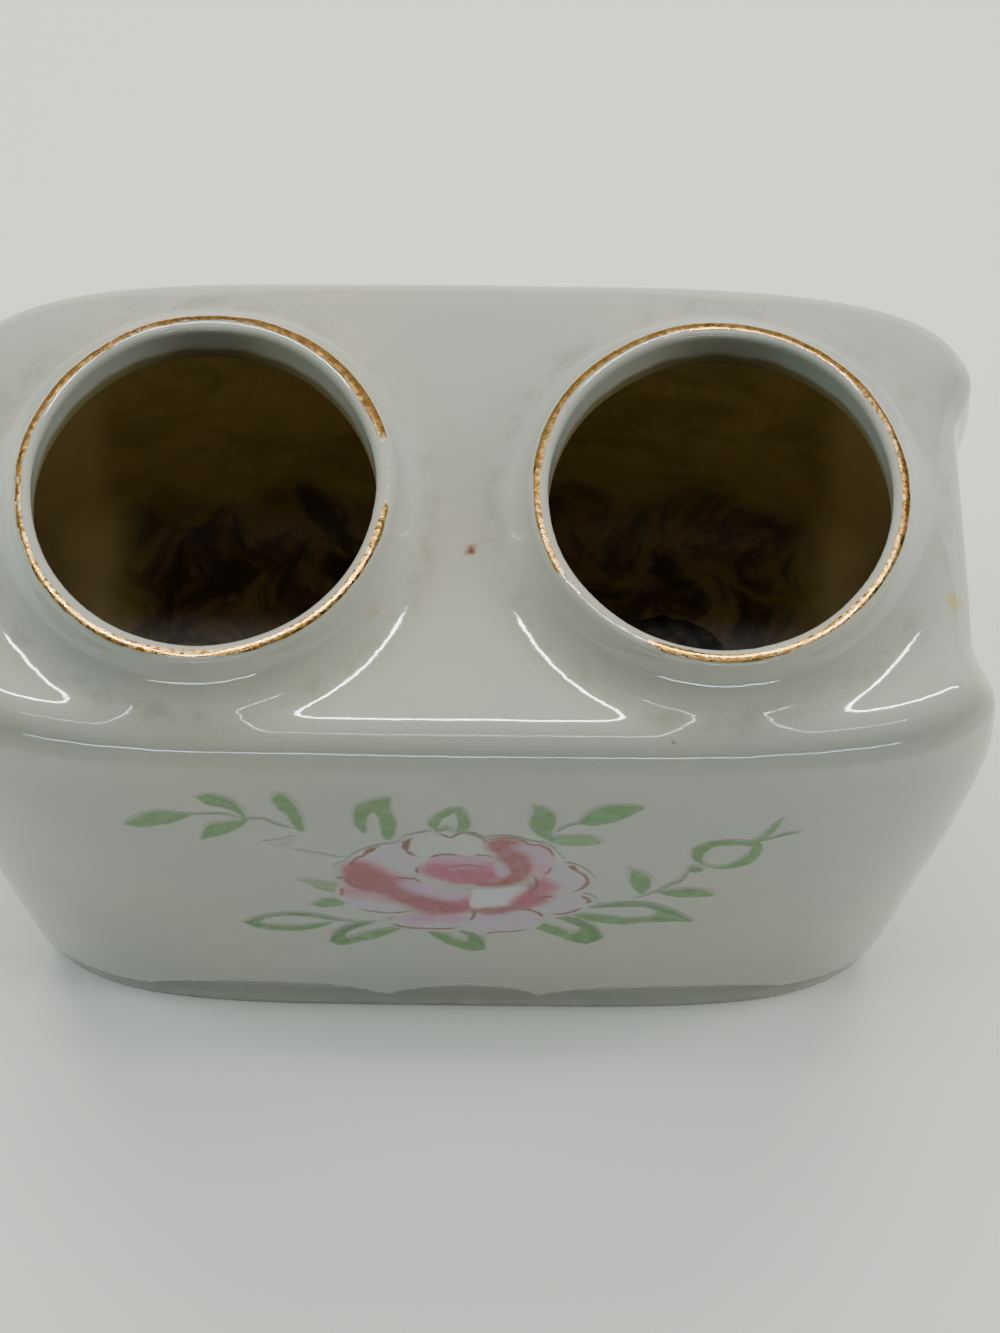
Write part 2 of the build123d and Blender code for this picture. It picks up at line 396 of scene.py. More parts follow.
def porcelain(name, painted=False, shade=0.0):
    m, nt, bsdf = new_material(name)
    coord = N(nt, "ShaderNodeTexCoord").outputs["Object"]
    # slow warm and cool drift of the glaze
    warm = ramp(nt, noise(nt, coord, 28, 2.0), 0.38, 0.66)
    base = mix_rgb(nt, warm, hexa(172, 175, 168), hexa(180, 177, 165))
    # iron specks and pin-holes in the glaze
    vor = N(nt, "ShaderNodeTexVoronoi", feature="F1")
    vor.inputs["Scale"].default_value = 170
    vor.inputs["Randomness"].default_value = 1.0
    nt.links.new(coord, vor.inputs["Vector"])
    sparse = ramp(nt, noise(nt, coord, 95, 1.0), 0.60, 0.66)
    dot = math_node(nt, "MULTIPLY", ramp(nt, vor.outputs["Distance"], 0.055, 0.025, 0.0, 1.0), sparse)
    base = mix_rgb(nt, math_node(nt, "MULTIPLY", dot, 0.55), base, hexa(96, 90, 78))
    # painted shade: darkens and greens the glaze as if it lay in shadow; used for the foot band under the skirt
    if shade:
        base = mix_rgb(nt, ramp(nt, noise(nt, coord, 70, 3.0), 0.2, 0.8, shade * 0.8, shade), base, hexa(104, 112, 100))
    # faint dirt at random over the glaze
    dirt = ramp(nt, noise(nt, coord, 60, 5.0, 0.7), 0.58, 0.80, 0.0, 0.10)
    base = mix_rgb(nt, dirt, base, hexa(140, 132, 110))
    if painted:
        # brush marks: the colour lies unevenly
        stroke = noise(nt, coord, 900, 3.0, 0.6)
        paint = mix_rgb(nt, ramp(nt, stroke, 0.35, 0.75, 0.0, 0.08), attr(nt, "paint", "Color"), hexa(180, 178, 178))
        cover = math_node(nt, "MULTIPLY", attr(nt, "cover"), ramp(nt, noise(nt, coord, 520, 3.0), 0.25, 0.62, 0.92, 1.12), clamp=True)
        base = mix_rgb(nt, cover, base, paint)
    else:
        stain = attr(nt, "inside")
        blot = ramp(nt, noise(nt, coord, 85, 6.0, 0.65, 0.6), 0.40, 0.66)
        ink = mix_rgb(nt, blot, hexa(188, 172, 122), hexa(162, 145, 92))
        ink = mix_rgb(nt, attr(nt, "side"), ink, hexa(222, 208, 168))
        # painted shade: the stained well walls darker towards the top, under the deck
        ink = mix_rgb(nt, attr(nt, "shade_near_top"), ink, hexa(120, 110, 80))
        low = ramp(nt, noise(nt, coord, 130, 5.0, 0.6, 1.2), 0.38, 0.60)
        pool = mix_rgb(nt, low, hexa(62, 48, 22), hexa(132, 112, 68))
        ink = mix_rgb(nt, attr(nt, "deep"), ink, pool)
        base = mix_rgb(nt, stain, base, ink)
        base = mix_rgb(nt, attr(nt, "bare"), base, hexa(170, 160, 144))
        # dirt and painted shade: darker in the crease round each neck, along the skirt's lower edge and at the foot's
        # bottom
        dirt_and_shade_amount = math_node(nt, "MULTIPLY", attr(nt, "grime_and_shade"), ramp(nt, noise(nt, coord, 240, 5.0, 0.7), 0.42, 0.70), clamp=True)
        base = mix_rgb(nt, math_node(nt, "MULTIPLY", dirt_and_shade_amount, 0.40), base, hexa(112, 104, 84))
        base = mix_rgb(nt, attr(nt, "spot"), base, attr(nt, "spot_colour", "Color"))
    nt.links.new(base, bsdf.inputs["Base Color"])
    bsdf.inputs["IOR"].default_value = 1.52
    if painted:
        rough = math_node(nt, "MULTIPLY_ADD", attr(nt, "cover"), 0.14, 0.06)
    else:
        rough = math_node(nt, "MULTIPLY_ADD", math_node(nt, "MAXIMUM", attr(nt, "inside"), attr(nt, "bare")), 0.55, 0.06)
    rough = math_node(nt, "ADD", rough, ramp(nt, noise(nt, coord, 300, 4.0), 0.5, 0.8, 0.0, 0.04))
    nt.links.new(rough, bsdf.inputs["Roughness"])
    # glaze ripple and fine orange peel
    h = math_node(nt, "ADD", math_node(nt, "MULTIPLY", noise(nt, coord, 110, 2.0, 0.5), 0.00014),
                  math_node(nt, "MULTIPLY", noise(nt, coord, 620, 2.0, 0.5), 0.000030))
    bump = N(nt, "ShaderNodeBump")
    bump.inputs["Strength"].default_value = 0.55
    bump.inputs["Distance"].default_value = 1.0
    nt.links.new(h, bump.inputs["Height"])
    nt.links.new(bump.outputs[0], bsdf.inputs["Normal"])
    return m


# ---------------------------------------------------------------- the porcelain
STEP = 0.6
V, F = surface_net(body_distance, (-59.7, -33.3, SKIRT - 1.2), (59.7, 33.3, TOP + 1.2), STEP)
body = make_mesh("porcelain_body", V, F)
x, y, z = V.T
void = void_distance(x, y, z)
on_void = np.clip((0.5 - np.abs(void)) / 0.3, 0, 1)
inside = on_void * smoother((DECK + 1.9 - z + 0.25 * np.sin(x * 1.1) * np.cos(y * 0.9)) / 1.3)
attribute(body, "inside", inside)
attribute(body, "deep", smoother((20 - z + 2 * np.sin(x * 0.4) * np.cos(y * 0.33)) / 6) * smoother((42 - np.abs(x)) / 7) * inside)
attribute(body, "side", smoother((np.abs(x) - 38) / 6) * smoother((62 - z) / 20))
# painted shade: mask for darkening the wells' stain towards the top, under the deck
attribute(body, "shade_near_top", smoother((z - 56) / 12))
attribute(body, "bare", smoother((0.6 - z) / 0.5))
r, _, _ = neck_radius(x, y)
crease = np.exp(-((r - 24.2) / 1.6) ** 2) * (np.abs(z - DECK) < 1.5)
# painted shade with some dirt: a dark ring in the crease round each neck's foot and a band along the skirt's lower edge
attribute(body, "grime_and_shade", np.clip(crease * 0.8 + np.exp(-((z - SKIRT) / 2.0) ** 2) * 0.7, 0, 1) * (1 - inside))
# single small marks on the glaze: x, y, z, radius, colour, strength
MARKS = [
    (1.0, -4.6, DECK, 0.50, (112, 40, 30), 0.9), (-9.5, -12.4, DECK, 0.8, (160, 128, 62), 0.55),
    (52.5, -9.4, DECK - 1.0, 0.9, (176, 160, 70), 0.55), (43.5, 4.6, TOP - 3, 0.6, (96, 60, 66), 0.8),
    (-49.5, -27.2, 66, 0.9, (170, 148, 80), 0.5), (12.5, 13.5, DECK, 0.5, (120, 112, 100), 0.6),
    (43.6, 14.8, DECK, 1.0, (150, 140, 118), 0.35), (-41.8, 17.0, DECK, 0.5, (110, 108, 100), 0.5),
]
spot, spot_rgb = np.zeros(len(V)), np.tile(np.array(hexa(120, 110, 90)), (len(V), 1))
for mx, my, mz, mr, rgb, k in MARKS:
    d = np.sqrt((x - mx) ** 2 + (y - my) ** 2 + ((z - mz) * 0.4) ** 2)
    w = k * smoother((mr * 1.5 - d) / mr)
    spot_rgb[w > spot] = hexa(*rgb)
    spot = np.maximum(spot, w)
attribute(body, "spot", spot)
colour(body, "spot_colour", spot_rgb)
glaze = porcelain("glazed_porcelain")
body.data.materials.append(glaze)
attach(body, "root")
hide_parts("body_walls", "deck", "left_neck", "right_neck", "well_floor", "well_divider")

V, F = surface_net(foot_distance, (-51.3, -33.3, -1.2), (51.3, 33.3, float(foot_hi[2]) + 1.2), 0.75)
foot = make_mesh("foot_band", V, F)
attribute(foot, "inside", np.zeros(len(V)))
attribute(foot, "deep", np.zeros(len(V)))
attribute(foot, "side", np.zeros(len(V)))
attribute(foot, "shade_near_top", np.zeros(len(V)))
attribute(foot, "bare", smoother((0.75 - V[:, 2]) / 0.6))
# painted shade with some dirt: the foot band darker towards its bottom edge at the table
attribute(foot, "grime_and_shade", np.clip(np.exp(-(V[:, 2] / 2.2) ** 2), 0, 1))
attribute(foot, "spot", np.zeros(len(V)))
colour(foot, "spot_colour", np.zeros((len(V), 3)))
# the foot band's glaze carries painted shade (shade=0.18) for the shadow under the skirt
foot.data.materials.append(porcelain("foot_glaze_painted_shade", shade=0.18))
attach(foot, "root")
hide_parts("foot_ring")


# ---------------------------------------------------------------- value noise for shapes
def hash3(ix, iy, iz):
    n = (ix * 374761393 + iy * 668265263 + iz * 2147483647) & 0xFFFFFFFF
    n = ((n ^ (n >> 13)) * 1274126177) & 0xFFFFFFFF
    return ((n ^ (n >> 16)) & 0xFFFF) / 65535.0


def value_noise(a, b, seed=0):
    ia, ib = np.floor(a).astype(np.int64), np.floor(b).astype(np.int64)
    ta, tb = smoother(a - ia), smoother(b - ib)
    h = lambda i, j: hash3(i, j, np.int64(seed) + 0 * i)
    return ((h(ia, ib) * (1 - ta) + h(ia + 1, ib) * ta) * (1 - tb)
            + (h(ia, ib + 1) * (1 - ta) + h(ia + 1, ib + 1) * ta) * tb)


def fractal(a, b, seed=0, octaves=4):
    s, k, t = 0, 0.5, 0
    for i in range(octaves):
        s = s + k * value_noise(a * 2 ** i, b * 2 ** i, seed + i * 17)
        t += k
        k *= 0.55
    return s / t


# ---------------------------------------------------------------- gilt lines
def on_lip(cx, rad, th):
    """Point of the lip's surface at radius rad and angle th, found by dropping onto the casting."""
    px, py = cx + rad * np.cos(th), rad * np.sin(th)
    hi = np.full_like(px, TOP + 1.0)
    for _ in range(14):
        hi = hi - body_distance(px, py, hi) * 0.9
    return px, py, hi


def wear_table(rows):
    """Cover of the gold along the angle, in degrees anticlockwise from +X seen from above."""
    a = np.array([q[0] for q in rows], float)
    return a, np.array([q[1] for q in rows], float)


# angle, cover of gold, how far the gold is browned: partly worn gold, partly painted shade, heavier towards the back of
# each lip
GILT = {
    "left": [(0, .15, .2), (12, .1, .2), (22, .9, .6), (40, 1.0, .75), (60, .9, .7), (75, .7, .8), (100, .6, .9), (125, .6, .8), (150, .9, .5),
             (175, .55, .3), (205, .55, .3), (220, 1, .15), (250, 1, .1), (280, .95, .1), (310, 1, .1), (335, 1, .05), (349, .85, .1), (356, .2, .2), (360, .15, .2)],
    "right": [(0, 1, .05), (25, .9, .3), (45, .8, .6), (60, .75, .7), (85, .9, .4), (110, .8, .5), (140, .9, .5), (165, .95, .35), (180, .9, .2), (195, .85, .3),
              (207, .7, .3), (213, .2, .3), (245, .1, .4), (252, .9, .1), (285, .95, .1), (296, .55, .2), (305, 1, .05), (335, 1, .05), (360, 1, .05)],
}
for i, side in enumerate(("left", "right")):
    rows = GILT[side]
    nt_, nr_ = 720, 9
    th = np.linspace(0, 2 * math.pi, nt_, endpoint=False)
    deg = np.degrees(th)
    cover = np.interp(deg, [q[0] for q in rows], [q[1] for q in rows])
    brown_and_shade = np.interp(deg, [q[0] for q in rows], [q[2] for q in rows])
    lip_d = (0.02 + 0.08 * np.cos(2 * th) + 0.34 * np.sin(2 * th), -0.16 + 0.20 * np.cos(2 * th) - 0.20 * np.sin(2 * th))[i]
    centre = 19.60 + lip_d + 0.05 * np.sin(5 * th + 2 * i) + 0.20 * (fractal(th * 6, th * 0, 5 + i) - 0.5)
    half = 0.38 * (0.75 + 0.5 * fractal(th * 9, th * 0 + 3, 11 + i)) * (0.65 + 0.35 * cover)
    if i == 0:   # a broad smear of old gold on the right-hand side of the left lip
        smear = np.exp(-((deg - 33) / 17) ** 2)
        half = half + 0.42 * smear
        centre = centre + 0.12 * smear
    u = np.linspace(-1, 1, nr_)
    R_ = np.minimum(centre[:, None] + half[:, None] * u[None, :], (20.05 + lip_d)[:, None])
    T_ = np.repeat(th[:, None], nr_, 1)
    px, py, pz = on_lip(CX[i], R_.ravel(), T_.ravel())
    top = np.minimum(pz + 0.045, TOP - 0.002)
    P = np.c_[px, py, top]
    edge = 1 - np.abs(u)[None, :] ** 3
    grain = fractal(T_ * 19.5, R_ * 3.0, 31 + i, 5)
    fine = fractal(T_ * 60, R_ * 8.0, 47 + i, 3)
    show = cover[:, None] * 1.25 + (grain - 0.5) * 1.0 + (fine - 0.5) * 0.3 - (1 - edge) * 0.35
    keep = np.clip((show - 0.30) / 0.16, 0, 1)
    ids = np.arange(nt_ * nr_).reshape(nt_, nr_)
    nxt = np.roll(ids, -1, 0)
    quads = np.stack([ids[:, :-1], ids[:, 1:], nxt[:, 1:], nxt[:, :-1]], -1).reshape(-1, 4)
    k4 = keep.ravel()[quads]
    quads = quads[k4.max(1) > 0.05]
    quads = quads[:, ::-1] if True else quads
    used = np.unique(quads)
    remap = -np.ones(len(P), int)
    remap[used] = np.arange(len(used))
    g = make_mesh(f"{side}_gilt_line", P[used], remap[quads])
    attribute(g, "keep", keep.ravel()[used])
    br = np.clip(np.repeat(brown_and_shade[:, None], nr_, 1) * 1.1 + (fractal(T_ * 14, R_ * 2.2, 71 + i) - 0.5) * 1.2, 0, 1)
    attribute(g, "brown_and_shade", br.ravel()[used])
    m, nt, bsdf = new_material(f"{side}_worn_gold")
    coord = N(nt, "ShaderNodeTexCoord").outputs["Object"]
    gold = mix_rgb(nt, ramp(nt, noise(nt, coord, 900, 4.0), 0.35, 0.7), hexa(214, 160, 78), hexa(238, 196, 122))
    # the gold browned and dulled: partly worn gold, partly painted shade on the back of each lip
    gold = mix_rgb(nt, attr(nt, "brown_and_shade"), gold, hexa(128, 92, 46))
    gold = mix_rgb(nt, attr(nt, "keep"), hexa(216, 208, 196), gold)
    nt.links.new(gold, bsdf.inputs["Base Color"])
    metal = math_node(nt, "MULTIPLY", attr(nt, "keep"), math_node(nt, "MULTIPLY_ADD", attr(nt, "brown_and_shade"), -0.55, 1.0), clamp=True)
    nt.links.new(metal, bsdf.inputs["Metallic"])
    nt.links.new(ramp(nt, noise(nt, coord, 1400, 4.0), 0.3, 0.75, 0.16, 0.42), bsdf.inputs["Roughness"])
    bump = N(nt, "ShaderNodeBump")
    bump.inputs["Strength"].default_value = 0.5
    bump.inputs["Distance"].default_value = 0.0001
    nt.links.new(noise(nt, coord, 1500, 3.0), bump.inputs["Height"])
    nt.links.new(bump.outputs[0], bsdf.inputs["Normal"])
    g.data.materials.append(m)
    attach(g, "root")
    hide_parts(f"{side}_gilt_band")

# ---------------------------------------------------------------- dried ink
for i, side in enumerate(("left", "right")):
    lo, hi = (np.array(v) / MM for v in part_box(f"{side}_ink_residue"))
    c, h = (lo + hi) / 2, (hi - lo) / 2
    nt_, nr_ = 150, 34
    th = np.linspace(0, 2 * math.pi, nt_, endpoint=False)
    rim = 0.86 + 0.16 * (fractal(2.2 + 1.6 * np.cos(th), 2.2 + 1.6 * np.sin(th), 3 + i * 9, 5) - 0.5) * 2
    rad = np.linspace(0.0, 1.0, nr_) ** 0.8
    PX_ = c[0] + h[0] * np.outer(rim * np.cos(th), rad)
    PY_ = c[1] + h[1] * np.outer(rim * np.sin(th), rad)
    crust = fractal(PX_ * 0.55, PY_ * 0.55, 91 + i, 5)
    PZ_ = FLOOR + 0.02 + (0.10 + 0.40 * crust) * (1 - rad[None, :] ** 6)
    ids = np.arange(nt_ * nr_).reshape(nt_, nr_)
    nxt = np.roll(ids, -1, 0)
    quads = np.stack([ids[:, :-1], nxt[:, :-1], nxt[:, 1:], ids[:, 1:]], -1).reshape(-1, 4)[:, ::-1]
    # the centre is one point
    remap = np.arange(nt_ * nr_)
    remap[ids[:, 0]] = ids[0, 0]
    quads = remap[quads]
    P = np.c_[PX_.ravel(), PY_.ravel(), PZ_.ravel()]
    polys = [list(dict.fromkeys(q)) for q in quads.tolist()]
    used = sorted({v for q in polys for v in q})
    back = {v: k for k, v in enumerate(used)}
    m_ = bpy.data.meshes.new(f"{side}_dried_ink")
    m_.from_pydata((P[used] * MM).tolist(), [], [[back[v] for v in q][::-1] for q in polys])
    m_.validate()
    m_.polygons.foreach_set("use_smooth", [True] * len(m_.polygons))
    ink = bpy.data.objects.new(f"{side}_dried_ink", m_)
    bpy.context.scene.collection.objects.link(ink)
    m, nt, bsdf = new_material(f"{side}_dried_ink_crust")
    coord = N(nt, "ShaderNodeTexCoord").outputs["Object"]
    c1 = mix_rgb(nt, ramp(nt, noise(nt, coord, 190, 6.0, 0.65, 0.8), 0.42, 0.62), hexa(20, 15, 8), hexa(58, 46, 24))
    c1 = mix_rgb(nt, ramp(nt, noise(nt, coord, 420, 4.0), 0.62, 0.74), c1, hexa(84, 66, 40))
    nt.links.new(c1, bsdf.inputs["Base Color"])
    nt.links.new(ramp(nt, noise(nt, coord, 300, 4.0), 0.3, 0.7, 0.35, 0.85), bsdf.inputs["Roughness"])
    bump = N(nt, "ShaderNodeBump")
    bump.inputs["Strength"].default_value = 0.6
    bump.inputs["Distance"].default_value = 0.0004
    nt.links.new(noise(nt, coord, 600, 5.0), bump.inputs["Height"])
    nt.links.new(bump.outputs[0], bsdf.inputs["Normal"])
    m_.materials.append(m)
    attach(ink, "root")
    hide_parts(f"{side}_ink_residue")

# ---------------------------------------------------------------- painted spray
# Drawn as brush strokes in the front's own X-Z plane, in mm.
rose_lo, rose_hi = (np.array(v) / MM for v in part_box("rose_enamel"))
RX, RZ = float(rose_lo[0] + rose_hi[0]) / 2, float(rose_lo[2] + rose_hi[2]) / 2
RW, RH = float(rose_hi[0] - rose_lo[0]) / 2, float(rose_hi[2] - rose_lo[2]) / 2
PS = 0.14
sx, sz = np.arange(-38, 39, PS), np.arange(16, 64, PS)
SX, SZ = np.meshgrid(sx, sz, indexing="ij")
paint = np.tile(np.array(GLAZE), (*SX.shape, 1))
alpha = np.zeros(SX.shape)


def lay(mask, rgb, opacity=1.0):
    """One coat over what is there."""
    global paint, alpha
    a = np.clip(mask, 0, 1) * opacity
    rgb = np.array(hexa(*rgb)) if isinstance(rgb, tuple) else rgb
    keep_ = alpha * (1 - a)
    total = np.maximum(keep_ + a, 1e-6)
    paint = (paint * keep_[..., None] + rgb * a[..., None]) / total[..., None]
    alpha = keep_ + a


def curve(points, n=40):
    """Smooth line through the points."""
    p = np.array(points, float)
    if len(p) == 2:
        t = np.linspace(0, 1, n)[:, None]
        return p[0] + (p[1] - p[0]) * t
    e = np.vstack([2 * p[0] - p[1], p, 2 * p[-1] - p[-2]])
    out = []
    for k in range(1, len(e) - 2):
        t = np.linspace(0, 1, max(6, n // (len(p) - 1)), endpoint=k == len(e) - 3)[:, None]
        a, b, c, d = e[k - 1], e[k], e[k + 1], e[k + 2]
        out.append(0.5 * (2 * b + (c - a) * t + (2 * a - 5 * b + 4 * c - d) * t * t + (3 * b - a - 3 * c + d) * t ** 3))
    return np.vstack(out)


def near(points, pad):
    p = np.array(points)
    return ((SX > p[:, 0].min() - pad) & (SX < p[:, 0].max() + pad)
            & (SZ > p[:, 1].min() - pad) & (SZ < p[:, 1].max() + pad))


def stroke(points, width, rgb, opacity=1.0, taper=(0.3, 0.3), soft=0.22, wobble=0.25, seed=0):
    """A brush stroke along the points; width may be one number or one per point."""
    global paint, alpha
    line = curve(points, 60)
    n = len(line)
    t = np.linspace(0, 1, n)
    w = np.interp(t, np.linspace(0, 1, len(width)), width) if hasattr(width, "__len__") else np.full(n, float(width))
    if taper[0]:
        w = w * np.clip(0.25 + 0.75 * t / taper[0], 0, 1)
    if taper[1]:
        w = w * np.clip(0.15 + 0.85 * (1 - t) / taper[1], 0, 1)
    w = w * (1 + wobble * (fractal(t * n / 9, t * 0 + seed, 7 + seed, 3) - 0.5) * 2)
    sel = near(line, w.max() + 0.8)
    px, pz = SX[sel], SZ[sel]
    d = np.full(px.shape, 1e9)
    for k in range(n - 1):
        a, b = line[k], line[k + 1]
        ab = b - a
        q = np.clip(((px - a[0]) * ab[0] + (pz - a[1]) * ab[1]) / max((ab ** 2).sum(), 1e-9), 0, 1)
        d = np.minimum(d, np.hypot(px - a[0] - q * ab[0], pz - a[1] - q * ab[1]) - (w[k] + (w[k + 1] - w[k]) * q) / 2)
    full = np.zeros(SX.shape)
    full[sel] = np.clip(0.5 - d / soft, 0, 1)
    lay(full, rgb, opacity)


def inside_poly(poly):
    """Signed distance to a closed outline, negative inside, over the whole sheet."""
    poly = np.array(poly)
    sel = near(poly, 2.0)
    px, pz = SX[sel], SZ[sel]
    d = np.full(px.shape, 1e9)
    odd = np.zeros(px.shape, bool)
    for k in range(len(poly)):
        a, b = poly[k], poly[(k + 1) % len(poly)]
        ab = b - a
        q = np.clip(((px - a[0]) * ab[0] + (pz - a[1]) * ab[1]) / max((ab ** 2).sum(), 1e-9), 0, 1)
        d = np.minimum(d, np.hypot(px - a[0] - q * ab[0], pz - a[1] - q * ab[1]))
        cross = (a[1] > pz) != (b[1] > pz)
        if abs(b[1] - a[1]) > 1e-9:
            odd ^= cross & (px < a[0] + (pz - a[1]) * (b[0] - a[0]) / (b[1] - a[1]))
    out = np.full(SX.shape, 9.0)
    out[sel] = np.where(odd, -d, d)
    return out


def blob(points, rgb, opacity=1.0, soft=0.3, n=70):
    p = np.array(points, float)
    closed = curve(np.vstack([p, p[:1]]), n)
    d = inside_poly(closed[:-1])
    lay(np.clip(0.5 - d / soft, 0, 1), rgb, opacity)
    return d


def rose(u, v):
    """A point of the rose: u right, v up, each from -1 to 1 over the flower."""
    return (RX + u * RW, RZ + v * RH)


def R(*uv):
    return [rose(u, v) for u, v in uv]


COLOURS = {
    "green": (74, 126, 36), "bright": (66, 130, 30), "pale": (100, 138, 70), "deep": (58, 106, 36), "stem": (80, 116, 66), "ghost": (118, 144, 122),
    "crimson": (146, 12, 44), "rosy": (168, 38, 84), "pink": (184, 98, 138), "lilac": (182, 158, 190), "white": (196, 196, 202), "rust": (116, 40, 14),
}
